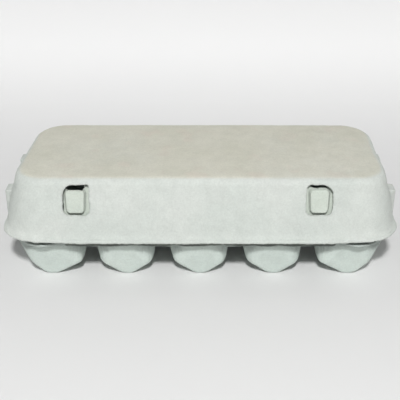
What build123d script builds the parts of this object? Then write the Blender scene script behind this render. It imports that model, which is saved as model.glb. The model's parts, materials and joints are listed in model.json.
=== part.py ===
"""A moulded pulp carton for ten eggs, in two rows of five.

One moulding makes three leaves that fold on two living hinges: a tray of egg cups, a lid
hinged along the tray's back edge, and a locking flap hinged along its front edge. The flap
stands inside the lid's front wall, and its two lugs reach into windows in that wall.
Each section of the moulding is its own solid here: the tray's cups, posts and rim, the lid's
shell, rim and end ribs, the flap, its lugs, and the two hinge strips.

Millimetres, +Z up, +X along the rows, -Y to the front. The origin is on the surface that the
feet stand on, under the middle of the carton.
"""

import os

from build123d import *

# ---- driving dimensions -------------------------------------------------------------------
PITCH = 46.0  # from egg to egg, along a row and across the rows
COLUMNS = 5
WALL = 1.6  # thickness of the pulp
DECK_Z = 26.9  # top face of the tray's deck above the feet
LID_RISE = 41.3  # from the deck to the outside of the lid's top

# ---- tray ---------------------------------------------------------------------------------
# Half length, front, back and corner radius of the deck, and of the cups' tiles within it.
DECK_OUTLINE = (120.5, -51.4, 49.6, 22.0)
TILES_OUTLINE = (118.7, -47.1, 47.8, 19.2)
FOLD_FRONT = -48.9  # front edge of the deck along the flap's fold
POST_RISE = 27.0  # the hollow cones between four cups, above the deck
POST_BASE_RADIUS, POST_TIP_RADIUS = 7.4, 4.2
POST_TIP_ROUNDING = 2.0
# A cup's section at each depth under the deck: its reach from its own middle towards a
# neighbour in its row, towards the other row, towards the tray's front or back, and towards
# the tray's end, then its corner radius. The last section is the foot, a keel across the row.
CUP_SECTIONS = (
    (0.0, 20.6, 20.6, 23.1, 23.0, 13.5),
    (4.5, 19.3, 19.2, 22.1, 21.5, 10.5),
    (15.8, 18.5, 16.5, 19.6, 17.4, 6.4),
    (DECK_Z, 4.4, 12.0, 17.2, 4.8, 2.2),
)
END_STRETCH = 1.5  # the end cups reach this much further to their neighbour, at mid depth

# ---- lid ----------------------------------------------------------------------------------
LID_GAP = 1.3  # air between the deck and the lid's lower edge
FLARE_RISE = 10.3  # where the lid's wall ends and its flared rim begins, above the deck
# Half length, front, back and corner radius of the lid's outline at three heights.
RIM_OUTLINE = (122.5, -52.5, 49.6, 23.0)
FOOT_OUTLINE = (119.5, -50.0, 48.6, 22.0)
TOP_OUTLINE = (114.5, -44.5, 44.5, 20.0)
TOP_EDGE_RADIUS = 6.0
RIB_Y = 23.3  # from the middle of the carton to the middle of an end rib
RIB_WIDTH = 11.0
RIB_REACH = 120.6  # outside of an end rib, which is upright
RIB_TOP = 25.8  # above the deck

# ---- latch --------------------------------------------------------------------------------
LATCH_XS = {"left": -73.1, "right": 73.1}
WINDOW_WIDTH, WINDOW_LOW, WINDOW_HIGH = 16.0, 19.6, 37.7  # heights above the deck
WINDOW_CORNER = 5.0
LUG_WIDTH, LUG_LOW, LUG_HIGH = 13.4, 20.5, 35.5  # along the leaning flap, from its hinge
LUG_CORNER = 3.6
LUG_DEPTH = 3.2
LUG_TAPER = 6.0
FLAP_LEAN = 12.5  # degrees from upright, towards the back
FLAP_FOOT_HALF, FLAP_HEAD_HALF = 82.0, 80.8
FLAP_LOW, FLAP_HIGH = 1.5, 36.1  # along the flap, from its hinge
FLAP_CORNER = 2.4

# ---- hinges -------------------------------------------------------------------------------
LID_HINGE_Y, LID_HINGE_Z = 51.2, DECK_Z + 0.7
LID_HINGE_BEAD = 1.3  # radius of the folded ridge
LID_HINGE_HALF = 97.0
FLAP_HINGE_Y, FLAP_HINGE_Z = -49.7, DECK_Z + 0.1
FLAP_HINGE_BEAD = 0.8
FLAP_HINGE_HALF = 82.0

os.makedirs("parts", exist_ok=True)


def save(part, label):
    """Labels a finished piece and writes it as its own STEP."""
    part.label = label
    export_step(part, f"parts/{label}.step")


def outline(half_length, front, back, corner, mode=Mode.ADD):
    """A rounded rectangle from front to back, drawn in the sketch that is open."""
    with Locations((0, (front + back) / 2)):
        RectangleRounded(2 * half_length, back - front, corner, mode=mode)


def inset(shape, amount):
    """An outline moved inwards by amount."""
    half_length, front, back, corner = shape
    return half_length - amount, front + amount, back - amount, corner - amount


# ---- tray ---------------------------------------------------------------------------------
POST_XS = [(column + 1 - COLUMNS / 2) * PITCH for column in range(COLUMNS - 1)]


def cup_section(column, row, depth, neighbour, inner, outer, end, corner, inwards=0.0):
    """One level of a cup, drawn about its own middle and moved inwards for its inside."""
    stretched = neighbour + (END_STRETCH if 0 < depth < DECK_Z else 0.0)
    left = {0: end, COLUMNS - 1: stretched}.get(column, neighbour)
    right = {0: stretched, COLUMNS - 1: end}.get(column, neighbour)
    front, back = (outer, inner) if row == "front" else (inner, outer)
    length, width = left + right - 2 * inwards, front + back - 2 * inwards
    with Locations(((right - left) / 2, (back - front) / 2)):
        RectangleRounded(length, width, max(corner - inwards, 1.0))


def column_x(column):
    """The middle of a column of cups."""
    return (column - (COLUMNS - 1) / 2) * PITCH


def egg_cup(column, row):
    """A cup that tapers to a narrow flat foot, with its own tile of the deck."""
    x = column_x(column)
    y = -PITCH / 2 if row == "front" else PITCH / 2
    with BuildPart() as cup:
        with BuildSketch(Plane.XY.offset(DECK_Z)):
            outline(*TILES_OUTLINE)
            with Locations((x, y)):
                end = PITCH if column in (0, COLUMNS - 1) else 0
                shift = end / 2 if column == COLUMNS - 1 else -end / 2
                outward = y - PITCH / 2 if row == "front" else y + PITCH / 2
                with Locations((shift, (outward - y) / 2)):
                    Rectangle(PITCH + end, 1.5 * PITCH, mode=Mode.INTERSECT)
            with Locations(*[(post_x, 0) for post_x in POST_XS]):
                Circle(POST_BASE_RADIUS, mode=Mode.SUBTRACT)
        extrude(amount=-WALL)
        for depth, *reaches in CUP_SECTIONS:
            with BuildSketch(Plane((x, y, DECK_Z - depth))):
                cup_section(column, row, depth, *reaches)
        loft(ruled=True)
        for depth, *reaches in CUP_SECTIONS:
            with BuildSketch(Plane((x, y, DECK_Z - min(depth, DECK_Z - WALL)))):
                cup_section(column, row, depth, *reaches, inwards=WALL)
        loft(ruled=True, mode=Mode.SUBTRACT)
    return cup.part


for row in ("front", "rear"):
    for column in range(COLUMNS):
        save(egg_cup(column, row), f"cup_{row}_{column + 1}")

for number, post_x in enumerate(POST_XS, start=1):
    upright = Plane(origin=(post_x, 0, DECK_Z), x_dir=(1, 0, 0), z_dir=(0, -1, 0))
    with BuildPart() as post:
        with BuildSketch(upright):
            with BuildLine():
                Polyline(
                    (POST_BASE_RADIUS - WALL, -WALL),
                    (POST_BASE_RADIUS, -WALL),
                    (POST_BASE_RADIUS, 0),
                    (POST_TIP_RADIUS, POST_RISE),
                    (0, POST_RISE),
                    (0, POST_RISE - WALL),
                    (POST_TIP_RADIUS - WALL, POST_RISE - WALL),
                    (POST_BASE_RADIUS - WALL, 0),
                    close=True,
                )
            profile = make_face()
            tip = profile.vertices().group_by(Axis.Y)[-1].sort_by(Axis.X)[-1]
            fillet(tip, radius=POST_TIP_ROUNDING)
        revolve(axis=Axis((post_x, 0, 0), (0, 0, 1)))
    save(post.part, f"post_{number}")

with BuildPart() as tray_rim:
    with BuildSketch(Plane.XY.offset(DECK_Z)):
        outline(*DECK_OUTLINE)
        outline(*TILES_OUTLINE, mode=Mode.SUBTRACT)
        # The flap's fold starts further back than the free corners of the rim.
        notch = FOLD_FRONT - DECK_OUTLINE[1]
        with Locations((0, DECK_OUTLINE[1] + notch / 2)):
            Rectangle(2 * FLAP_HINGE_HALF, notch, mode=Mode.SUBTRACT)
    extrude(amount=-WALL)
save(tray_rim.part, "tray_rim")


# ---- lid ----------------------------------------------------------------------------------
def lid_body(amount):
    """The lid's solid form above its flare, moved inwards by amount, with a soft top edge."""
    with BuildPart() as body:
        with BuildSketch(Plane.XY.offset(DECK_Z + FLARE_RISE)):
            outline(*inset(FOOT_OUTLINE, amount))
        with BuildSketch(Plane.XY.offset(DECK_Z + LID_RISE - amount)):
            outline(*inset(TOP_OUTLINE, amount))
        loft()
        fillet(body.edges().group_by(Axis.Z)[-1], radius=TOP_EDGE_RADIUS - amount)
    return body.part


outer_body = lid_body(0)
inner_body = lid_body(WALL)


def rib_block(side, row, amount):
    """An upright block over an end wall, moved inwards by amount on the faces that show."""
    reach = RIB_REACH - amount
    low, high = DECK_Z + FLARE_RISE, DECK_Z + RIB_TOP - amount
    depth = 12.0
    with BuildPart() as block:
        with Locations((side * (reach - depth / 2), row * RIB_Y, (low + high) / 2)):
            Box(depth, RIB_WIDTH - 2 * amount, high - low)
        outer_face = block.faces().sort_by(Axis.X)[-1 if side > 0 else 0]
        fillet(outer_face.edges().group_by(Axis.Z)[-1], radius=2.0 - amount)
    return block.part


RIB_PLACES = {
    "front_left": (-1, -1),
    "front_right": (1, -1),
    "rear_left": (-1, 1),
    "rear_right": (1, 1),
}

with BuildPart() as lid_shell:
    add(outer_body)
    add(inner_body, mode=Mode.SUBTRACT)
    # The latch windows, cut through the front wall alone.
    window_middle = DECK_Z + (WINDOW_LOW + WINDOW_HIGH) / 2
    with BuildSketch(Plane.XZ.offset(-FOOT_OUTLINE[1] + 5)):
        with Locations(*[(latch_x, window_middle) for latch_x in LATCH_XS.values()]):
            RectangleRounded(WINDOW_WIDTH, WINDOW_HIGH - WINDOW_LOW, WINDOW_CORNER)
    extrude(amount=-20, mode=Mode.SUBTRACT)
    for side, row in RIB_PLACES.values():
        add(rib_block(side, row, WALL), mode=Mode.SUBTRACT)
save(lid_shell.part, "lid_shell")

for place, (side, row) in RIB_PLACES.items():
    with BuildPart() as rib:
        add(rib_block(side, row, 0))
        add(outer_body, mode=Mode.SUBTRACT)
        add(rib_block(side, row, WALL), mode=Mode.SUBTRACT)
    save(rib.part, f"lid_rib_{place}")

with BuildPart() as lid_rim:
    for amount, mode in ((0, Mode.ADD), (WALL, Mode.SUBTRACT)):
        with BuildSketch(Plane.XY.offset(DECK_Z + LID_GAP)):
            outline(*inset(RIM_OUTLINE, amount))
        with BuildSketch(Plane.XY.offset(DECK_Z + FLARE_RISE)):
            outline(*inset(FOOT_OUTLINE, amount))
        loft(mode=mode)
save(lid_rim.part, "lid_rim")


# ---- locking flap -------------------------------------------------------------------------
# The flap's own plane lies on its outer face: local X along the carton, local Y up the flap.
leaning_up = Vector(0, 1, 0).rotate(Axis.X, 90 - FLAP_LEAN)
flap_plane = Plane(
    origin=(0, FLAP_HINGE_Y, FLAP_HINGE_Z),
    x_dir=(1, 0, 0),
    z_dir=Vector(1, 0, 0).cross(leaning_up),
)

with BuildPart() as locking_flap:
    with BuildSketch(flap_plane):
        with BuildLine():
            Polyline(
                (-FLAP_FOOT_HALF, FLAP_LOW),
                (FLAP_FOOT_HALF, FLAP_LOW),
                (FLAP_HEAD_HALF, FLAP_HIGH),
                (-FLAP_HEAD_HALF, FLAP_HIGH),
                close=True,
            )
        panel = make_face()
        fillet(panel.vertices().group_by(Axis.Y)[-1], radius=FLAP_CORNER)
    extrude(amount=-WALL)
save(locking_flap.part, "locking_flap")

for name, latch_x in LATCH_XS.items():
    with BuildPart() as lug:
        with BuildSketch(flap_plane):
            with Locations((latch_x, (LUG_LOW + LUG_HIGH) / 2)):
                RectangleRounded(LUG_WIDTH, LUG_HIGH - LUG_LOW, LUG_CORNER)
        extrude(amount=LUG_DEPTH, taper=LUG_TAPER)
    save(lug.part, f"latch_lug_{name}")


# ---- living hinges ------------------------------------------------------------------------
def hinge_strip(edge_y, axis_y, axis_z, bead, half_length):
    """A thin web from the deck's edge to a rounded ridge about the hinge's axis."""
    with BuildPart() as strip:
        with BuildSketch(Plane.YZ.offset(-half_length)):
            with Locations((axis_y, axis_z)):
                Circle(bead)
            with Locations(((edge_y + axis_y) / 2, DECK_Z - WALL / 2)):
                Rectangle(abs(axis_y - edge_y), WALL / 2)
        extrude(amount=2 * half_length)
    return strip.part


save(
    hinge_strip(DECK_OUTLINE[2], LID_HINGE_Y, LID_HINGE_Z, LID_HINGE_BEAD, LID_HINGE_HALF),
    "lid_hinge_strip",
)
save(
    hinge_strip(
        FOLD_FRONT, FLAP_HINGE_Y, FLAP_HINGE_Z, FLAP_HINGE_BEAD, FLAP_HINGE_HALF
    ),
    "flap_hinge_strip",
)
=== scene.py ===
"""Looks of a moulded pulp egg carton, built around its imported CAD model.

The real carton is one moulding with three leaves, so each leaf is one continuous pulp shell
here: the tray, the lid and the locking flap. Two folded strips bend across the hinges.
Lengths inside this script are millimetres; make_piece turns them into metres.
"""

import json
import math
from itertools import chain

import bpy
import numpy as np
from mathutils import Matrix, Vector


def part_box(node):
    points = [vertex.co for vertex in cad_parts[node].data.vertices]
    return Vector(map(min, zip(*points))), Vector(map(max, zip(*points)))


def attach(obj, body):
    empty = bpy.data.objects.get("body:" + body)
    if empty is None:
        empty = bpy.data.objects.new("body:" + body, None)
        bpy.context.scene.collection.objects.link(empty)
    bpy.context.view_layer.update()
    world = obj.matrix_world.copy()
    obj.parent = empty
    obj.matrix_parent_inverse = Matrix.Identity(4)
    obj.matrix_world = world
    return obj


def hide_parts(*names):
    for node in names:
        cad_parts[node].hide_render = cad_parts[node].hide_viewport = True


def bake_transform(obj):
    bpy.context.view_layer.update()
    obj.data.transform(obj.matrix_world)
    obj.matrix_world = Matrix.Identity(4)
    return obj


MM = 0.001
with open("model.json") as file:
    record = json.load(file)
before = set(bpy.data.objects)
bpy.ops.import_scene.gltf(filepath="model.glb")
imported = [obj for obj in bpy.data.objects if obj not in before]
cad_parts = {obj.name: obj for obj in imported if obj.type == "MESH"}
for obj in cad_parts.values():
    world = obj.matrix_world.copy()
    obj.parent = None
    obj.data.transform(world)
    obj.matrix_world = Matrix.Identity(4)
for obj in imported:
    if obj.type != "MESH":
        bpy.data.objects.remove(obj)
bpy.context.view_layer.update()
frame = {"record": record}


def node_box(name):
    """Lowest and highest corner of a CAD node, in millimetres."""
    low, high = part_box(name)
    return np.array(low) / MM, np.array(high) / MM


# ---- places taken from the frame ----------------------------------------------------------
ROWS = ("front", "rear")
COLUMNS = 5
CUPS = {
    (row, column): f"cup_{row}_{column + 1}"
    for row in ROWS
    for column in range(COLUMNS)
}
POSTS = [f"post_{number}" for number in range(1, COLUMNS)]
RIBS = [f"lid_rib_{place}" for place in ("front_left", "front_right", "rear_left", "rear_right")]
LUGS = {"left": "latch_lug_left", "right": "latch_lug_right"}

DECK_Z = node_box("tray_rim")[1][2]
POST_XS = [(node_box(post)[0][0] + node_box(post)[1][0]) / 2 for post in POSTS]
PITCH = POST_XS[1] - POST_XS[0]
POST_TOP = node_box(POSTS[0])[1][2]
POST_RADIUS = (node_box(POSTS[0])[1][0] - node_box(POSTS[0])[0][0]) / 2
RIM_LOW = node_box("lid_rim")[0]
SHELL_LOW, SHELL_HIGH = node_box("lid_shell")
TRAY_LOW, TRAY_HIGH = node_box("tray_rim")
FOLD_HALF = node_box("flap_hinge_strip")[1][0]
RIB_LOW, RIB_HIGH = node_box("lid_rib_front_right")
JOINTS = {joint["name"]: joint for joint in frame["record"]["behaviour"]["joints"]}
LID_AXIS = np.array(JOINTS["lid_hinge"]["pos_m"]) / MM
FLAP_AXIS = np.array(JOINTS["flap_hinge"]["pos_m"]) / MM

WALL = 1.6  # thickness of the pulp

# The outside of the lid: half length, front, back and corner radius, at its flare and its top.
FLARE_Z = SHELL_LOW[2]
TOP_Z = SHELL_HIGH[2]
FOOT = np.array([SHELL_HIGH[0], SHELL_LOW[1], SHELL_HIGH[1], 22.0])
TOP = np.array([SHELL_HIGH[0] - 5.0, SHELL_LOW[1] + 5.5, SHELL_HIGH[1] - 4.1, 20.0])
TOP_EDGE = 5.6  # radius of the lid's top edge
# How far the left and right end of the lid's top lean in, at places from front to back.
LEAN_PLACES = (-44, -29, -3, 20, 44)
LEFT_LEANS, RIGHT_LEANS = (0, 2.0, 3.3, 4.6, 5.0), (0, 1.9, 2.3, 1.3, 1.5)
# A groove pressed along the lid's rim: its height over the edge, half width and depth.
GROOVE_RISE, GROOVE_HALF, GROOVE_DEPTH = 1.35, 0.34, 0.3
# How much higher than the CAD's the rim's edge stands in its middle, and yet higher at its ends.
RIM_BOW, RIM_BOW_ENDS = 0.9, 1.6
# Each window's middle, its lug's middle, and the radius of its upper corner towards the
# carton's middle.
WINDOWS = ((-74.3, -74.85, 1.4), (71.0, 71.1, 3.6))
WINDOW_HALF, WINDOW_CORNER = 8.3, 4.0
WINDOW_Z = (DECK_Z + 18.2, DECK_Z + 37.8)

# A cup's outside at each depth under the deck, close to the CAD's: its reach towards a
# neighbour, the other row, the tray's front or back and the tray's end, then its corner radius.
CUP_SECTIONS = np.array(
    [
        (0.0, 20.2, 20.6, 23.0, 25.4, 17.0),
        (4.5, 18.6, 19.2, 22.0, 23.4, 16.0),
        (11.0, 17.6, 17.9, 20.7, 20.0, 12.0),
        (18.2, 16.3, 16.2, 19.2, 15.2, 4.8),
        (DECK_Z - 1.4, 5.4, 12.6, 18.0, 7.0, 2.4),
        (DECK_Z, 3.0, 11.0, 17.2, 4.4, 2.0),
    ]
)
# The end cups reach further to their neighbour, most at mid depth, and the cups between are
# drawn a little to the left, most at their tops: by how much, and its share at each depth.
END_STRETCH, END_SHARES = 2.2, (0, 0.6, 0.8, 1, -0.4, -0.4)
LEFT_STRETCH, LEFT_SHARES = 3.0, (1, 0.85, 0.55, 0.25, 0.05, 0)
FOLD_FRONT = -47.0  # where the deck ends along the flap's fold


# ---- numbers and noise --------------------------------------------------------------------
def smoothstep(low, high, value):
    """0 below low, 1 above high, with a soft change between."""
    ramp = np.clip((value - low) / (high - low), 0, 1)
    return ramp * ramp * (3 - 2 * ramp)


def lumps(points, wavelength, seed):
    """Smooth noise from -1 to 1 that changes over about one wavelength."""
    cells = points / wavelength + 100.0
    base = np.floor(cells).astype(np.int64)
    blend = cells - base
    blend = blend * blend * (3 - 2 * blend)
    total = np.zeros(len(points))
    for corner in np.ndindex(2, 2, 2):
        at = base + np.array(corner)
        weight = np.prod(np.where(corner, blend, 1 - blend), axis=1)
        mixed = at[:, 0] * 73856093 ^ at[:, 1] * 19349663 ^ at[:, 2] * 83492791 ^ seed * 26544357
        mixed = (mixed ^ mixed >> 13) * 1274126177
        mixed = (mixed ^ mixed >> 16) & 0xFFFF
        total += weight * (mixed / 32767.5 - 1)
    return total


def ragged(points, size, seed):
    """The unevenness of a torn edge, in millimetres."""
    return size * (
        0.5 * lumps(points, 4.3, seed)
        + 0.6 * lumps(points, 1.7, seed + 1)
        + 0.45 * lumps(points, 0.8, seed + 2)
    )


def graded(low, high, zones, fine, coarse):
    """Positions from low to high, fine apart inside the zones and coarse apart elsewhere."""
    steps = np.linspace(low, high, 6000)
    density = np.full(len(steps), 1 / coarse)
    for start, end in zones:
        density[(steps > start) & (steps < end)] = 1 / fine
    counts = np.concatenate(([0.0], np.cumsum(density[1:] * np.diff(steps))))
    return np.interp(np.linspace(0, counts[-1], round(counts[-1]) + 1), counts, steps)


def rounded_box(x, y, centre, half, corner):
    """Distance to a rounded rectangle's outline, negative inside."""
    across = np.abs(x - centre[0]) - half[0] + corner
    along = np.abs(y - centre[1]) - half[1] + corner
    outside = np.hypot(np.maximum(across, 0), np.maximum(along, 0))
    return outside + np.minimum(np.maximum(across, along), 0) - corner


# ---- meshes -------------------------------------------------------------------------------
def grid_faces(rows, columns, wraps=False):
    """Quads of a grid of points stored row by row; it may wrap round along its rows."""
    row, column = np.meshgrid(
        np.arange(rows - 1), np.arange(columns if wraps else columns - 1), indexing="ij"
    )
    after = (column + 1) % columns
    corners = (row * columns + column, row * columns + after)
    above = ((row + 1) * columns + after, (row + 1) * columns + column)
    return np.stack([c.ravel() for c in corners + above], axis=1)


def clipped(points, faces, distance):
    """The mesh with all that lies at a distance over 0 cut away, along a smooth edge."""
    outside = distance[faces] > 0
    kept = [tuple(dict.fromkeys(face)) for face in faces[~outside.any(axis=1)].tolist()]
    kept = [face for face in kept if len(face) > 2]
    points = list(points)
    crossing = {}

    def cut_point(a, b):
        key = (min(a, b), max(a, b))
        if key not in crossing:
            low, high = key
            share = np.clip(distance[low] / (distance[low] - distance[high]), 0.12, 0.88)
            points.append(points[low] * (1 - share) + points[high] * share)
            crossing[key] = len(points) - 1
        return crossing[key]

    for face in faces[outside.any(axis=1) & ~outside.all(axis=1)]:
        polygon = []
        for here, after in zip(face, np.roll(face, -1)):
            if distance[here] <= 0:
                polygon.append(here)
            if (distance[here] > 0) != (distance[after] > 0):
                polygon.append(cut_point(here, after))
        if len(polygon) > 2:
            kept.append(tuple(polygon))
    used = np.unique(np.concatenate([np.array(face) for face in kept]))
    renumbered = np.full(len(points), -1)
    renumbered[used] = np.arange(len(used))
    return np.array(points)[used], [tuple(renumbered[list(face)]) for face in kept]


def corner_arrays(faces):
    """Start and end point of every edge of every face, in winding order, and face sizes."""
    sizes = np.fromiter(map(len, faces), int, len(faces))
    starts = np.fromiter(chain.from_iterable(faces), int, sizes.sum())
    ends = np.roll(starts, -1)
    last = np.cumsum(sizes) - 1
    ends[last] = starts[last - sizes + 1]
    return starts, ends, sizes


def point_normals(points, faces):
    """Unit normals at the points, each weighted by the areas of the faces around it."""
    starts, ends, sizes = corner_arrays(faces)
    owners = np.repeat(np.arange(len(faces)), sizes)
    pairs = np.cross(points[starts], points[ends])
    face_normals = np.zeros((len(faces), 3))
    np.add.at(face_normals, owners, pairs)
    normals = np.zeros_like(points)
    np.add.at(normals, starts, face_normals[owners])
    return normals / np.maximum(np.linalg.norm(normals, axis=1, keepdims=True), 1e-9)


def relaxed(points, faces, rounds, fixed=None):
    """The points moved towards the middle of their neighbours, which softens creases."""
    starts, ends, _ = corner_arrays(faces)
    count = np.zeros(len(points))
    np.add.at(count, starts, 1)
    np.add.at(count, ends, 1)
    points = points.copy()
    for _ in range(rounds):
        total = np.zeros_like(points)
        np.add.at(total, starts, points[ends])
        np.add.at(total, ends, points[starts])
        moved = total / count[:, None]
        if fixed is not None:
            moved[fixed] = points[fixed]
        points = 0.5 * points + 0.5 * moved
    return points


def open_edges(faces):
    """Each point of the mesh's open edges with the point before and after it."""
    starts, ends, _ = corner_arrays(faces)
    size = int(max(starts.max(), ends.max())) + 1
    forward = starts * size + ends
    alone = ~np.isin(forward, ends * size + starts)
    here, after = starts[alone], ends[alone]
    before = np.zeros(size, int)
    before[after] = here
    return here, before[here], after


EDGE_RINGS = 3


def pulp_shell(points, faces, thickness, inner_rounds=3, frayed=0.16, seed=5):
    """A closed shell: the given outer skin, an inner skin, and rounded torn edges between.

    Returns its points, faces, and how inner and how torn each point is, from 0 to 1.
    """
    normals = point_normals(points, faces)
    here, before, after = open_edges(faces)
    inner = points - normals * thickness
    inner = relaxed(inner, faces, inner_rounds, fixed=here)
    tangent = points[after] - points[before]
    tangent /= np.maximum(np.linalg.norm(tangent, axis=1, keepdims=True), 1e-9)
    outward = np.cross(tangent, normals[here])
    middle = (points[here] + inner[here]) / 2
    half = (points[here] - inner[here]) / 2
    count = len(points)
    rings = [here]
    parts = [points, inner]
    place = np.full(count, -1)
    place[here] = np.arange(len(here))
    for ring in range(EDGE_RINGS):
        angle = math.pi * (ring + 1) / (EDGE_RINGS + 1)
        bulge = thickness * 0.32 * math.sin(angle)
        edge = middle + half * math.cos(angle)
        fray = bulge + frayed * lumps(edge + 7 * ring, 0.9, seed)
        parts.append(edge + outward * fray[:, None])
        rings.append(2 * count + ring * len(here) + np.arange(len(here)))
    rings.append(here + count)
    all_faces = [tuple(face) for face in faces]
    all_faces += [tuple(point + count for point in reversed(face)) for face in faces]
    follows = place[after]
    for upper, lower in zip(rings[:-1], rings[1:]):
        quads = np.stack([upper[follows], upper, lower, lower[follows]], axis=1)
        all_faces += [tuple(quad) for quad in quads]
    torn = np.zeros(count)
    torn[here] = 1.0
    torn_inner = torn.copy()
    rings_size = EDGE_RINGS * len(here)
    innerness = np.concatenate([np.zeros(count), np.ones(count), np.full(rings_size, 0.5)])
    tornness = np.concatenate([torn, torn_inner, np.ones(rings_size)])
    return np.concatenate(parts), all_faces, innerness, tornness


def spread(values, faces, rounds):
    """Values spread to their neighbours, each round a little weaker."""
    starts, ends, _ = corner_arrays(faces)
    values = values.copy()
    for _ in range(rounds):
        reached = values.copy()
        np.maximum.at(reached, starts, values[ends] * 0.72)
        np.maximum.at(reached, ends, values[starts] * 0.72)
        values = reached
    return values


def hollowness(points, faces):
    """How far each point lies below the middle of its neighbours: over 0 in a crease."""
    normals = point_normals(points, faces)
    smoother = relaxed(points, faces, 6)
    return np.clip(np.sum((smoother - points) * normals, axis=1) / 0.35, -1, 1)


def make_piece(name, points, faces, material, attributes):
    """A smooth mesh object, in metres, with float attributes on its points."""
    mesh = bpy.data.meshes.new(name)
    mesh.from_pydata((points * MM).tolist(), [], [list(map(int, f)) for f in faces])
    mesh.shade_smooth()
    for label, values in attributes.items():
        layer = mesh.attributes.new(label, "FLOAT", "POINT")
        layer.data.foreach_set("value", np.asarray(values, np.float32))
    mesh.materials.append(material)
    piece = bpy.data.objects.new(name, mesh)
    bpy.context.scene.collection.objects.link(piece)
    return piece


def make_shell(
    name, points, faces, material, thickness=WALL, seed=5, inner_rounds=3, unevenness=1.0, painted_shade_from=None
):
    """A pulp piece from its outer skin, with the felt's unevenness on both sides.

    Its outside is painted darker just below the given height, if that is given, and along the flap's
    fold: painted shade under the lid's rim.
    """
    points, faces, innerness, tornness = pulp_shell(
        points, faces, thickness, inner_rounds=inner_rounds, seed=seed
    )
    normals = point_normals(points, faces)
    felt = (
        0.10 * lumps(points, 17.0, seed)
        + 0.07 * lumps(points, 6.5, seed + 1)
        + 0.05 * lumps(points, 2.6, seed + 2)
        + 0.03 * lumps(points, 1.3, seed + 3) * (1 + innerness)
    )
    points = points + normals * (felt * unevenness)[:, None]
    points[:, 2] = np.maximum(points[:, 2], 0.0)  # nothing sinks below the table
    painted_shade = np.zeros(len(points))
    if painted_shade_from is not None:
        x, y, _ = points.T
        nearest = np.clip(np.round(x / PITCH), -(COLUMNS // 2), COLUMNS // 2)
        depth = painted_shade_from - points[:, 2] + 0.8 * lumps(points, 8.0, seed + 5)
        # The painted shade reaches lower at each cup's side corners, where the rim's shadow falls deeper.
        lower = 3.8 * smoothstep(9.0, 16.0, np.abs(x - nearest * PITCH))
        painted_shade = (1 - innerness) * (1 - smoothstep(3.0 + lower, 6.0 + lower, depth))
        # Painted shade: along the flap's fold the deck is painted dark, for the shadowed gap under the
        # lid's rim.
        folded = (np.abs(x) < FOLD_HALF + 0.5) & (y < FOLD_FRONT + 4)
        painted_shade = np.where(folded, np.maximum(painted_shade, 1.9 * (1 - smoothstep(2.6, 3.6, depth))), painted_shade)
    attributes = {
        "inner": innerness,
        "torn": spread(tornness, faces, 4),
        "crease": hollowness(points, faces),
        "painted_shade": painted_shade,
    }
    return make_piece(name, points, faces, material, attributes)


# ---- lid ----------------------------------------------------------------------------------
def outline_points(shape, counts):
    """Points round a rounded rectangle, anticlockwise from the left end of its front.

    shape is half length, front, back and corner radius. counts are the points along the
    front, an end, the back and a corner. Rows of points with the same counts match up.
    """
    half, front, back, corner = shape
    straight = half - corner
    along_front, along_end, along_back, along_corner = counts
    corners = [
        (straight, front + corner, -90),
        (straight, back - corner, 0),
        (-straight, back - corner, 90),
        (-straight, front + corner, 180),
    ]
    sides = [
        ((-straight, front), (straight, front), along_front),
        ((half, front + corner), (half, back - corner), along_end),
        ((straight, back), (-straight, back), along_back),
        ((-half, back - corner), (-half, front + corner), along_end),
    ]
    pieces = []
    for (start, end, number), (x, y, angle) in zip(sides, corners):
        share = np.linspace(0, 1, number, endpoint=False)[:, None]
        pieces.append(np.array(start) * (1 - share) + np.array(end) * share)
        turn = np.radians(angle + np.linspace(0, 90, along_corner, endpoint=False))
        pieces.append(np.stack([x + corner * np.cos(turn), y + corner * np.sin(turn)], axis=1))
    return np.concatenate(pieces)


LID_COUNTS = (300, 130, 300, 48)


def lid_wall_shape(height):
    """The lid's straight wall, drawn out to any height, as an outline's shape."""
    share = (height - FLARE_Z) / (TOP_Z - FLARE_Z)
    return FOOT + (TOP - FOOT) * share


def lid_skin():
    """Rows of points up the lid's outside, over its top edge and in to the middle line."""
    slopes = np.abs(TOP - FOOT)[:3] / (TOP_Z - FLARE_Z)
    lean = math.degrees(math.atan(slopes.max()))
    edge_start = TOP_Z - TOP_EDGE + TOP_EDGE * math.sin(math.radians(lean))
    rib_top = RIB_HIGH[2]
    zones = [(rib_top - 1.2, rib_top + 0.8), (RIM_LOW[2], RIM_LOW[2] + 2.4)]
    heights = graded(RIM_LOW[2], edge_start, zones, 0.28, 0.62)
    rows = []
    for height in heights:
        flat = outline_points(lid_wall_shape(height), LID_COUNTS)
        rows.append(np.column_stack([flat, np.full(len(flat), height)]))
    for turn in np.radians(np.linspace(lean, 90, 13))[1:]:
        inset = TOP_EDGE / np.cos(np.arctan(slopes)) - TOP_EDGE * slopes - TOP_EDGE * math.cos(turn)
        shape = TOP + np.array([-inset[0], inset[1], -inset[2], -inset.mean()])
        flat = outline_points(shape, LID_COUNTS)
        height = TOP_Z - TOP_EDGE + TOP_EDGE * math.sin(turn)
        rows.append(np.column_stack([flat, np.full(len(flat), height)]))
    rim = rows[-1]
    spine_half = TOP[0] - TOP[2]
    spine = np.column_stack([np.clip(rim[:, 0], -spine_half, spine_half), np.zeros(len(rim))])
    spine = np.column_stack([spine, rim[:, 2]])
    for share in np.linspace(0, 1, 34)[1:]:
        rows.append(rim * (1 - share) + spine * share)
    return np.array(rows)


def flared(points, outward):
    """The foot of the lid's wall turned outwards, higher and further at the ends."""
    x, y, z = points.T
    at_end = smoothstep(84, 112, np.abs(x))
    at_back = smoothstep(30, 42, y)
    height = 6.2 + 6.6 * at_end
    reach = (1.25 + 0.75 * at_end) * (1 - 0.75 * at_back * (1 - at_end))
    rise = np.clip((RIM_LOW[2] + height - z) / height, 0, 1)
    crumpled = at_end * rise * (0.5 * lumps(points, 6.5, 17) + 0.25 * lumps(points, 3.0, 18))
    return points + outward * (reach * rise**2.1 + crumpled)[:, None]


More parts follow.
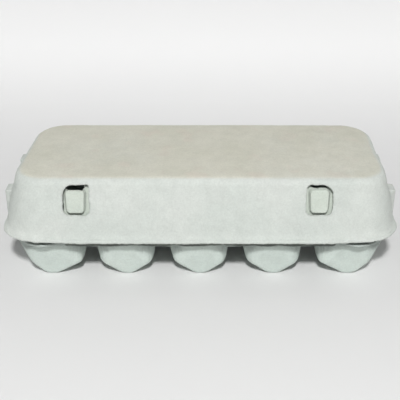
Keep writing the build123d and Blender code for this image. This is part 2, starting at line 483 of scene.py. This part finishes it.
def leaning_in(points):
    """The lid's ends leaning in a little more towards the rear, the left one most."""
    x, y, z = points.T
    left, right = (np.interp(y, LEAN_PLACES, leans) for leans in (LEFT_LEANS, RIGHT_LEANS))
    lean = np.where(x < 0, left, right) * smoothstep(FLARE_Z + 6, TOP_Z - 2, z)
    return points * np.column_stack([1 - lean / TOP[0], np.ones((len(points), 2))])


def with_ribs(points):
    """The end walls pushed out to upright ribs with flat tops."""
    x, y, z = points.T
    middle = abs(RIB_LOW[1] + RIB_HIGH[1]) / 2
    half = (RIB_HIGH[1] - RIB_LOW[1]) / 2
    on_rib = 1 - smoothstep(half - 1.1, half + 0.1, np.abs(np.abs(y) - middle))
    below_top = 1 - smoothstep(RIB_HIGH[2] - 0.55, RIB_HIGH[2], z)
    push = np.clip(RIB_HIGH[0] - np.abs(x), 0, None) * on_rib * below_top
    push *= np.abs(x) > 100
    return points + np.column_stack([np.sign(x) * push, np.zeros((len(x), 2))])


def make_lid(material):
    skin = lid_skin()
    rows, columns = skin.shape[:2]
    points = skin.reshape(-1, 3)
    faces = grid_faces(rows, columns, wraps=True)
    # The front and back halves of the top share the points of the middle line.
    _, first, same = np.unique(
        np.round(points[-columns:], 3), axis=0, return_index=True, return_inverse=True
    )
    shared = np.arange(len(points))
    shared[-columns:] = len(points) - columns + first[same.ravel()]
    faces = shared[faces]
    outward = point_normals(points, faces) * np.array([1, 1, 0])
    outward /= np.maximum(np.linalg.norm(outward, axis=1, keepdims=True), 1e-6)
    points = flared(points, outward)
    points = with_ribs(leaning_in(points))
    x, y, z = points.T
    # A shallow groove was pressed along the rim, just above its torn edge.
    across = (z - RIM_LOW[2] - GROOVE_RISE) / GROOVE_HALF
    groove = np.exp(-(across**2)) * (0.7 + 0.5 * lumps(points, 12.0, 13))
    points -= outward * (GROOVE_DEPTH * groove)[:, None]
    # The rim's edge curves up towards the ends, and is torn unevenly all round.
    low = 1 - smoothstep(0, 7, z - RIM_LOW[2])
    bow = RIM_BOW + RIM_BOW_ENDS * smoothstep(70, 116, np.abs(x))
    points[:, 2] += low * (bow + ragged(points, 0.28, 11))
    # The large panels are not quite flat.
    sag = 0.45 * lumps(points, 60.0, 3) - 0.35 * (1 - (x / TOP[0]) ** 2) * (1 - (y / TOP[2]) ** 2)
    points[:, 2] += smoothstep(TOP_Z - 2, TOP_Z, z) * np.clip(sag, -0.8, 0.0)
    on_front = (y < -30) & (z < TOP_Z - 0.5)
    window = np.full(len(points), 99.0)
    half = (WINDOW_Z[1] - WINDOW_Z[0]) / 2
    middle = sum(WINDOW_Z) / 2
    for centre, _, inner_corner in WINDOWS:
        # The upper corner towards the carton's end is wide.
        outer = (x - centre) * centre > 0
        corner = np.where(z > middle, np.where(outer, 6.6, inner_corner), WINDOW_CORNER)
        shape = rounded_box(x, z, (centre, middle), (WINDOW_HALF, half), corner)
        window = np.minimum(window, shape)
    window += ragged(points, 0.45, 21)
    distance = np.where(on_front, -window, -99.0)
    points, faces = clipped(points, faces, distance)
    lid = make_shell("lid_pulp", points, faces, material, seed=31, inner_rounds=4)
    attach(lid, "lid")
    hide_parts("lid_shell", "lid_rim", *RIBS)
    return lid


# ---- tray ---------------------------------------------------------------------------------
def cup_depth(x, y, row, column):
    """How far a cup's outside lies below the deck at each point, 0 outside the cup."""
    middle_x = (column - (COLUMNS - 1) / 2) * PITCH
    middle_y = -PITCH / 2 if row == "front" else PITCH / 2
    outwards = -1 if row == "front" else 1
    across, along = x - middle_x, (y - middle_y) * outwards
    depth = np.zeros(len(x))
    previous = np.full(len(x), -1.0)
    levels = np.linspace(0, DECK_Z, 90)
    for last_level, level in zip(np.concatenate(([0.0], levels[:-1])), levels):
        neighbour, inner, outer, end, corner = (
            np.interp(level, CUP_SECTIONS[:, 0], CUP_SECTIONS[:, part]) for part in range(1, 6)
        )
        stretched = neighbour + END_STRETCH * np.interp(level, CUP_SECTIONS[:, 0], END_SHARES)
        widened = neighbour + LEFT_STRETCH * np.interp(level, CUP_SECTIONS[:, 0], LEFT_SHARES)
        left = {0: end, COLUMNS - 1: stretched}.get(column, widened)
        right = {0: stretched, COLUMNS - 1: end}.get(column, neighbour)
        centre = ((right - left) / 2, (outer - inner) / 2)
        half = ((right + left) / 2, (outer + inner) / 2)
        distance = rounded_box(across, along, centre, half, corner)
        inside = distance <= 0
        depth[inside] = level
        leaving = ~inside & (previous <= 0) & (level > 0)
        share = previous[leaving] / (previous[leaving] - distance[leaving])
        depth[leaving] = last_level + share * (level - last_level)
        previous = np.where(level > 0, distance, np.where(inside, distance, 1.0))
    return depth


def wrinkles(points):
    """Small folds that run down from a cup's upper side corners towards its outer face."""
    x, y, z = points.T
    nearest = np.clip(np.round(x / PITCH), -(COLUMNS // 2), COLUMNS // 2)
    across, outwards = np.abs(x - nearest * PITCH), np.abs(y) - PITCH / 2
    unevenness = lumps(points, 9.0, 41)
    below = DECK_Z - z - (6.5 + 0.55 * (15.5 - across) + 0.5 * unevenness)
    reach = smoothstep(8.0, 12.0, across) * (1 - smoothstep(17.5, 20.0, across))
    reach *= smoothstep(4.0, 9.0, outwards) * (0.8 + 0.4 * unevenness)
    return reach * (0.3 * np.exp(-(((below + 0.9) / 0.8) ** 2)) - 0.5 * np.exp(-((below / 0.6) ** 2)))


def make_tray(material):
    half, front, back = TRAY_HIGH[0], TRAY_LOW[1] + 0.8, TRAY_HIGH[1]
    zones_x, zones_y = [], []
    for column in range(COLUMNS):
        middle = (column - (COLUMNS - 1) / 2) * PITCH
        zones_x += [(middle - 22, middle - 16), (middle + 16, middle + 22)]
    for post in POST_XS:
        zones_x.append((post - 7, post + 7))
    for side in (-1, 1):
        zones_y += [tuple(sorted((side * a, side * b))) for a, b in ((3, 9), (38, 48))]
    xs = graded(-half - 0.6, half + 0.6, zones_x, 0.45, 0.8)
    ys = graded(front - 0.6, back + 0.6, zones_y + [(-9, 9)], 0.3, 0.8)
    x, y = (part.ravel() for part in np.meshgrid(xs, ys))
    under_deck = DECK_Z - WALL
    z = np.full(len(x), under_deck)
    for row, column in CUPS:
        depth = cup_depth(x, y, row, column)
        z = np.where(depth > 0, np.minimum(z, DECK_Z - np.maximum(depth, WALL)), z)
    tip = 0.5 * POST_RADIUS - WALL
    for post in POST_XS:
        away = np.hypot(x - post, y)
        climb = np.clip((POST_RADIUS - WALL - away) / (POST_RADIUS - WALL - tip), 0, 1)
        z = np.where(climb > 0, under_deck + climb * (POST_TOP - DECK_Z), z)
    points = np.column_stack([x, y, z])
    # Rows run front to back, so the winding is turned to face the skin downwards.
    faces = grid_faces(len(ys), len(xs))[:, ::-1]
    points = relaxed(points, faces, 3)
    # The deck's front edge is turned down, most along the flap's fold.
    by_fold = 1 - smoothstep(FOLD_HALF - 1, FOLD_HALF + 2, np.abs(x))
    turned_down = smoothstep(44.3, 46.8, -y) * (0.7 + 1.1 * by_fold)
    points[:, 2] -= turned_down * smoothstep(DECK_Z - 9.0, DECK_Z - 3.0, points[:, 2])
    points += point_normals(points, faces) * wrinkles(points)[:, None]
    centre = (0, (front + back) / 2)
    x, y, _ = points.T
    corner = np.where(y < 0, 27.0, 22.0)
    distance = rounded_box(x, y, centre, (half - 1.6, (back - front) / 2), corner)
    # Along the flap's fold the deck ends further back, and runs out to its front corners.
    recess = (FOLD_FRONT - front) * (1 - smoothstep(FOLD_HALF, FOLD_HALF + 18, np.abs(x)))
    distance = np.maximum(distance, front + recess - y)
    distance += ragged(points, 0.4, 51)
    points, faces = clipped(points, faces, distance)
    tray = make_shell("tray_pulp", points, faces, material, seed=61, inner_rounds=3, painted_shade_from=DECK_Z)
    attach(tray, "tray")
    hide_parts("tray_rim", *CUPS.values(), *POSTS)
    return tray


# ---- locking flap -------------------------------------------------------------------------
def make_flap(material):
    high = node_box("locking_flap")[1]
    lug_low, lug_high = node_box(LUGS["left"])
    lean = math.radians(12.5)
    up = np.array([0, math.sin(lean), math.cos(lean)])
    out = np.array([0, -math.cos(lean), math.sin(lean)])
    foot, head = 1.5, (high[2] - FLAP_AXIS[2]) / up[2]
    foot_half, head_half, corner = high[0], high[0] - 0.2, 2.4
    zones = []
    for centre, _, _ in WINDOWS:
        zones.append((centre - 9, centre + 9))
    along = graded(-foot_half - 0.5, foot_half + 0.5, zones, 0.35, 0.9)
    above = graded(foot - 0.5, head + 0.5, [(17, head + 0.5)], 0.35, 0.9)
    x, rise = (part.ravel() for part in np.meshgrid(along, above))
    lug_half = (lug_high[0] - lug_low[0]) / 2
    lug_foot = (lug_low[2] - FLAP_AXIS[2]) / up[2] - 1.6
    lug_head = (lug_high[2] - FLAP_AXIS[2]) / up[2] - 0.7
    stand = np.zeros(len(x))
    notch = np.full(len(x), 99.0)
    for (_, lug_x, _), drop in zip(WINDOWS, (1.5, 0.3)):
        narrowed = lug_half - 0.7 * (1 - smoothstep(lug_foot, lug_head, rise))
        shape = rounded_box(
            (x - lug_x) / narrowed * lug_half,
            rise,
            (0, (lug_foot + lug_head) / 2),
            (lug_half, (lug_head - lug_foot) / 2),
            3.4,
        )
        stand += 1 - smoothstep(-1.5, 0.1, shape)
        # The pulp is slit open above each lug, so the lug ends in a free lip.
        slit_foot = lug_head - drop
        slit = rounded_box(x, rise, (lug_x, head), (lug_half - 0.9, head - slit_foot), 0.8)
        notch = np.minimum(notch, slit)
    depth = 3.1
    # A shallow embossed panel stiffens the flap between the lugs.
    panel = rounded_box(x, rise, (0, 18.5), (56, 10.5), 6.0)
    stand_out = depth * stand + 0.55 * (1 - smoothstep(-1.6, 0.4, panel))
    origin = np.array([0, FLAP_AXIS[1], FLAP_AXIS[2]])
    points = origin + np.outer(x, [1, 0, 0]) + np.outer(rise, up) + np.outer(stand_out, out)
    faces = grid_faces(len(above), len(along))
    half = foot_half - (foot_half - head_half) * (rise - foot) / (head - foot)
    distance = rounded_box(x / half * foot_half, rise, (0, 0), (foot_half, head), corner)
    distance = np.maximum(distance, foot - rise) + ragged(points, 0.4, 71)
    distance = np.maximum(distance, -notch + ragged(points, 0.25, 75))
    points, faces = clipped(points, faces, distance)
    flap = make_shell("flap_pulp", points, faces, material, seed=81, inner_rounds=3)
    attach(flap, "flap")
    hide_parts("locking_flap", *LUGS.values())
    return flap


# ---- living hinges ------------------------------------------------------------------------
def make_fold(name, node, axis, profile, material, seed):
    """A thin folded strip whose section is given as places about the hinge's axis."""
    low, high = node_box(node)
    section = np.array(profile)
    lengths = np.concatenate(([0], np.cumsum(np.linalg.norm(np.diff(section, axis=0), axis=1))))
    steps = np.linspace(0, lengths[-1], 16)
    section = np.column_stack([np.interp(steps, lengths, section[:, part]) for part in (0, 1)])
    along = np.linspace(low[0], high[0], 260)
    x, step = (part.ravel() for part in np.meshgrid(along, np.arange(len(section))))
    points = np.column_stack([x, axis[1] + section[step, 0], axis[2] + section[step, 1]])
    faces = grid_faces(len(section), len(along))
    strip = make_shell(
        name, points, faces, material, thickness=0.7, seed=seed, inner_rounds=1, unevenness=0.7
    )
    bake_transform(strip)
    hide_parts(node)
    return strip


def arc(radius, start, end, count=9):
    """Places on a circle about a hinge's axis, by angle in degrees."""
    turns = np.radians(np.linspace(start, end, count))
    return [(radius * math.cos(turn), radius * math.sin(turn)) for turn in turns]


# ---- materials ----------------------------------------------------------------------------
class Nodes:
    """Short names for making and linking the nodes of one material."""

    def __init__(self, name):
        self.material = bpy.data.materials.new(name)
        self.material.use_nodes = True
        self.tree = self.material.node_tree
        self.shader = self.tree.nodes["Principled BSDF"]

    def add(self, kind, settings=None, **inputs):
        node = self.tree.nodes.new(kind)
        for key, value in (settings or {}).items():
            setattr(node, key, value)
        for key, value in inputs.items():
            self.put(node.inputs[key.replace("_", " ")], value)
        return node

    def put(self, socket, value):
        if isinstance(value, bpy.types.NodeSocket):
            self.tree.links.new(value, socket)
        else:
            socket.default_value = value

    def place(self):
        """Where on the object the surface is, in metres."""
        return self.add("ShaderNodeTexCoord").outputs["Object"]

    def noise(self, vector, size, detail=3.0, roughness=0.55):
        """Noise whose features are about size metres across."""
        node = self.add("ShaderNodeTexNoise", Vector=vector, Scale=1 / size, Detail=detail)
        node.inputs["Roughness"].default_value = roughness
        return node.outputs["Fac"]

    def ramp(self, value, low, high, start=0.0, end=1.0):
        """value spread from low..high to start..end, with soft ends."""
        node = self.add("ShaderNodeMapRange", {"interpolation_type": "SMOOTHSTEP"}, Value=value)
        for key, number in (("From Min", low), ("From Max", high), ("To Min", start), ("To Max", end)):
            node.inputs[key].default_value = number
        return node.outputs["Result"]

    def math(self, operation, first, second):
        node = self.add("ShaderNodeMath", {"operation": operation})
        self.put(node.inputs[0], first)
        self.put(node.inputs[1], second)
        return node.outputs[0]

    def mix(self, share, first, second, blend="MIX"):
        node = self.add("ShaderNodeMix", {"data_type": "RGBA", "blend_type": blend})
        self.put(node.inputs["Factor"], share)
        self.put(node.inputs[6], first)
        self.put(node.inputs[7], second)
        return node.outputs[2]

    def attribute(self, name):
        return self.add("ShaderNodeAttribute", {"attribute_name": name}).outputs["Fac"]


def pulp_material(name, pale, shade, stain_and_painted_light=None):
    """Matt fibrous pulp: pale and shade are its mottled colours; the top's colours are partly real stain
    and partly painted light.
    """
    nodes = Nodes(name)
    place = nodes.place()
    inner = nodes.attribute("inner")
    torn = nodes.attribute("torn")
    crease = nodes.attribute("crease")
    colour = nodes.mix(nodes.ramp(nodes.noise(place, 0.045), 0.3, 0.7), pale, shade)
    # The flat top gets its own colours: real mottled stains, and a warmer tint that is painted light for
    # the warmer, dimmer light on the top.
    if stain_and_painted_light:
        height = nodes.add("ShaderNodeSeparateXYZ", Vector=place).outputs["Z"]
        facing = nodes.add("ShaderNodeSeparateXYZ")
        nodes.put(facing.inputs[0], nodes.add("ShaderNodeNewGeometry").outputs["Normal"])
        on_top = nodes.ramp(height, (TOP_Z - 1.3) * MM, (TOP_Z - 0.1) * MM)
        flat = nodes.ramp(facing.outputs["Z"], 0.55, 0.97)
        top_stain_and_light_mask = nodes.math("MULTIPLY", on_top, flat)
        patches = nodes.ramp(nodes.noise(place, 0.03, 4.0), 0.35, 0.75)
        top_stain_and_light_colour = nodes.mix(patches, stain_and_painted_light[0], stain_and_painted_light[1])
        blotch = nodes.ramp(nodes.noise(place, 0.016, 2.0), 0.56, 0.72)
        top_stain_and_light_colour = nodes.mix(nodes.math("MULTIPLY", blotch, 0.45), top_stain_and_light_colour, stain_and_painted_light[2])
        colour = nodes.mix(top_stain_and_light_mask, colour, top_stain_and_light_colour)
    # Cloudy felt, then short darker and paler fibres.
    cloud = nodes.ramp(nodes.noise(place, 0.007, 5.0, 0.65), 0.25, 0.75, 0.955, 1.035)
    grain = nodes.ramp(nodes.noise(place, 0.0011, 3.0, 0.6), 0.25, 0.75, 0.95, 1.04)
    tone = nodes.math("MULTIPLY", cloud, grain)
    warp = nodes.add("ShaderNodeTexNoise", Vector=place, Scale=160.0, Detail=1.0)
    bent = nodes.add("ShaderNodeVectorMath", {"operation": "MULTIPLY_ADD"})
    nodes.put(bent.inputs[0], warp.outputs["Color"])
    bent.inputs[1].default_value = (0.006, 0.006, 0.006)
    nodes.put(bent.inputs[2], place)
    fibres = nodes.add(
        "ShaderNodeTexVoronoi", {"feature": "DISTANCE_TO_EDGE"}, Vector=bent.outputs[0], Scale=420.0
    ).outputs["Distance"]
    strands = nodes.ramp(fibres, 0.0, 0.07, 1.0, 0.0)
    thinning = nodes.math("MULTIPLY", strands, 0.035)
    tone = nodes.math("MULTIPLY", tone, nodes.math("SUBTRACT", 1.0, thinning))
    # Painted shade in creases and a faint painted highlight on ridges.
    painted_crease_shade = nodes.ramp(crease, 0.1, 0.9, 1.0, 0.86)
    painted_ridge_light = nodes.ramp(crease, -0.8, -0.1, 1.03, 1.0)
    tone = nodes.math("MULTIPLY", tone, nodes.math("MULTIPLY", painted_crease_shade, painted_ridge_light))
    # Painted shade along the torn edges, which are drawn a little darker.
    tone = nodes.math("MULTIPLY", tone, nodes.ramp(torn, 0.5, 1.0, 1.0, 0.9))
    # Painted shade under the tray's rim and along the flap's fold.
    painted_shade_darkening = nodes.math("MULTIPLY", nodes.attribute("painted_shade"), 0.38)
    tone = nodes.math("MULTIPLY", tone, nodes.math("SUBTRACT", 1.0, painted_shade_darkening))
    grey = nodes.add("ShaderNodeCombineColor")
    for channel in ("Red", "Green", "Blue"):
        nodes.put(grey.inputs[channel], tone)
    colour = nodes.mix(1.0, colour, grey.outputs[0], "MULTIPLY")
    flecks = nodes.ramp(nodes.noise(place, 0.0016, 2.0, 0.7), 0.71, 0.78)
    colour = nodes.mix(nodes.math("MULTIPLY", flecks, 0.25), colour, (0.33, 0.33, 0.29, 1))
    nodes.put(nodes.shader.inputs["Base Color"], colour)
    # The felt's surface: soft lumps, a fine nap and the fibres; the inner side is rougher.
    lump = nodes.noise(place, 0.0042, 4.0, 0.6)
    nap = nodes.noise(place, 0.0008, 3.0, 0.65)
    height = nodes.math("ADD", lump, nodes.math("MULTIPLY", nap, 0.42))
    height = nodes.math("ADD", height, nodes.math("MULTIPLY", strands, 0.10))
    depth = nodes.math("ADD", 0.75, nodes.math("MULTIPLY", nodes.math("ADD", inner, torn), 0.5))
    bump = nodes.add("ShaderNodeBump", Strength=0.5, Distance=0.0006)
    nodes.put(bump.inputs["Height"], nodes.math("MULTIPLY", height, depth))
    nodes.put(nodes.shader.inputs["Normal"], bump.outputs[0])
    nodes.put(nodes.shader.inputs["Roughness"], nodes.ramp(nap, 0.2, 0.8, 0.86, 0.98))
    nodes.shader.inputs["Specular IOR Level"].default_value = 0.22
    return nodes.material


# ---- studio -------------------------------------------------------------------------------
FLOOR_GLOW = 0.42


def make_floor():
    """A pale round sheet under the carton that curves up to a wall all round."""
    turns = np.linspace(0, 0.5 * math.pi, 13)
    run = [(0.35, 0.0), (0.9, 0.0)]
    run += [(2.0 + 0.8 * math.sin(turn), 0.8 - 0.8 * math.cos(turn)) for turn in turns]
    run.append((2.8, 3.2))
    around = 72
    turn = np.linspace(0, 2 * math.pi, around, endpoint=False)
    points = [(r * math.cos(a), r * math.sin(a), z) for r, z in run for a in turn]
    mesh = bpy.data.meshes.new("floor")
    faces = [tuple(map(int, face[::-1])) for face in grid_faces(len(run), around, wraps=True)]
    faces.append(tuple(range(around)))
    mesh.from_pydata(points, [], faces)
    mesh.shade_smooth()
    nodes = Nodes("floor_paper")
    mottle = nodes.ramp(nodes.noise(nodes.place(), 0.6), 0.2, 0.8)
    nodes.put(
        nodes.shader.inputs["Base Color"],
        nodes.mix(mottle, (0.74, 0.74, 0.74, 1), (0.76, 0.76, 0.755, 1)),
    )
    nodes.shader.inputs["Roughness"].default_value = 0.95
    nodes.shader.inputs["Emission Color"].default_value = (1, 1, 1, 1)
    # The sheet glows with painted light, not a lamp: brightly at the back, faintly far out on the other
    # sides.
    place = nodes.add("ShaderNodeSeparateXYZ", Vector=nodes.place())
    reach = nodes.add("ShaderNodeVectorMath", {"operation": "LENGTH"})
    nodes.put(reach.inputs[0], nodes.place())
    bright = nodes.ramp(place.outputs["Y"], 0.0, 0.5, 0.0, FLOOR_GLOW)
    faint = nodes.ramp(reach.outputs["Value"], 0.4, 2.2, 0.0, 0.07)
    nodes.put(nodes.shader.inputs["Emission Strength"], nodes.math("MAXIMUM", bright, faint))
    mesh.materials.append(nodes.material)
    floor = bpy.data.objects.new("floor", mesh)
    bpy.context.scene.collection.objects.link(floor)


def make_light(name, azimuth, elevation, distance, size, power, colour):
    """A soft square light that faces the carton from a direction in degrees."""
    turn, lift = math.radians(azimuth), math.radians(elevation)
    light = bpy.data.lights.new(name, "AREA")
    light.size, light.energy, light.color = size, power, colour
    lamp = bpy.data.objects.new(name, light)
    aim = Vector((0, 0, DECK_Z * MM))
    towards = Vector((math.sin(turn) * math.cos(lift), -math.cos(turn) * math.cos(lift), math.sin(lift)))
    lamp.location = aim + towards * distance
    lamp.rotation_euler = towards.to_track_quat("Z", "Y").to_euler()
    bpy.context.scene.collection.objects.link(lamp)


def make_world(colour, strength):
    world = bpy.data.worlds.new("studio")
    world.use_nodes = True
    background = world.node_tree.nodes["Background"]
    background.inputs["Color"].default_value = colour
    background.inputs["Strength"].default_value = strength
    bpy.context.scene.world = world


def make_camera():
    """The photograph's view: from the front and a little above, on the carton's middle."""
    elevation, distance = math.radians(27.3), 0.530
    camera = bpy.data.cameras.new("camera")
    camera.lens, camera.sensor_width = 72.0, 36.0
    camera.shift_x, camera.shift_y = -0.001, 0.0108
    camera.dof.use_dof = False
    holder = bpy.data.objects.new("camera", camera)
    aim = Vector((0, 0, RIM_LOW[2] * MM))
    away = Vector((0, -math.cos(elevation), math.sin(elevation)))
    holder.location = aim + away * distance
    holder.rotation_euler = away.to_track_quat("Z", "Y").to_euler()
    bpy.context.scene.collection.objects.link(holder)
    bpy.context.scene.camera = holder


# ---- the carton in its studio -------------------------------------------------------------
COOL_PALE, COOL_SHADE = (0.593, 0.620, 0.587, 1), (0.555, 0.592, 0.557, 1)
# The top's colours: real stains, with a warmer tint that is painted light.
TOP_STAIN_AND_PAINTED_LIGHT = ((0.605, 0.598, 0.52, 1), (0.56, 0.556, 0.472, 1), (0.61, 0.56, 0.49, 1))
lid_pulp = pulp_material("lid_pulp", COOL_PALE, COOL_SHADE, stain_and_painted_light=TOP_STAIN_AND_PAINTED_LIGHT)
# The tray's pulp is the lid's pulp painted paler: painted light on the cups' down-facing sides.
tray_pulp_painted_paler = pulp_material("tray_pulp", (0.625, 0.69, 0.645, 1), (0.585, 0.65, 0.61, 1))
# The flap's fold is painted near black: painted shade for the dark gap under the lid's rim.
fold_painted_shade = pulp_material("fold_painted_shade", (0.20, 0.22, 0.19, 1), (0.16, 0.18, 0.155, 1))
flap_pulp = pulp_material("flap_pulp", (0.56, 0.60, 0.54, 1), (0.53, 0.58, 0.52, 1))

make_lid(lid_pulp)
make_tray(tray_pulp_painted_paler)
make_flap(flap_pulp)
make_fold(
    "lid_fold",
    "lid_hinge_strip",
    LID_AXIS,
    [(-1.9, -1.15), (-0.8, -1.0)] + arc(0.85, -90, 90) + [(-0.8, 1.0), (-1.8, 1.3)],
    tray_pulp_painted_paler,
    91,
)
make_fold(
    "flap_fold",
    "flap_hinge_strip",
    FLAP_AXIS,
    [(2.6, -2.5), (2.0, -2.0), (1.4, -0.9), (0.7, 0.4), (0.35, 1.7)],
    fold_painted_shade,
    95,
)

make_floor()
make_light("key", 0, 47, 1.3, 0.12, 13.9, (1.0, 1.0, 1.0))
make_light("top", 0, 80, 1.1, 0.8, 0.42, (1.0, 1.0, 0.96))
make_world((1, 1, 1, 1), 0.04)
make_camera()

bpy.context.scene.view_settings.view_transform = "Standard"
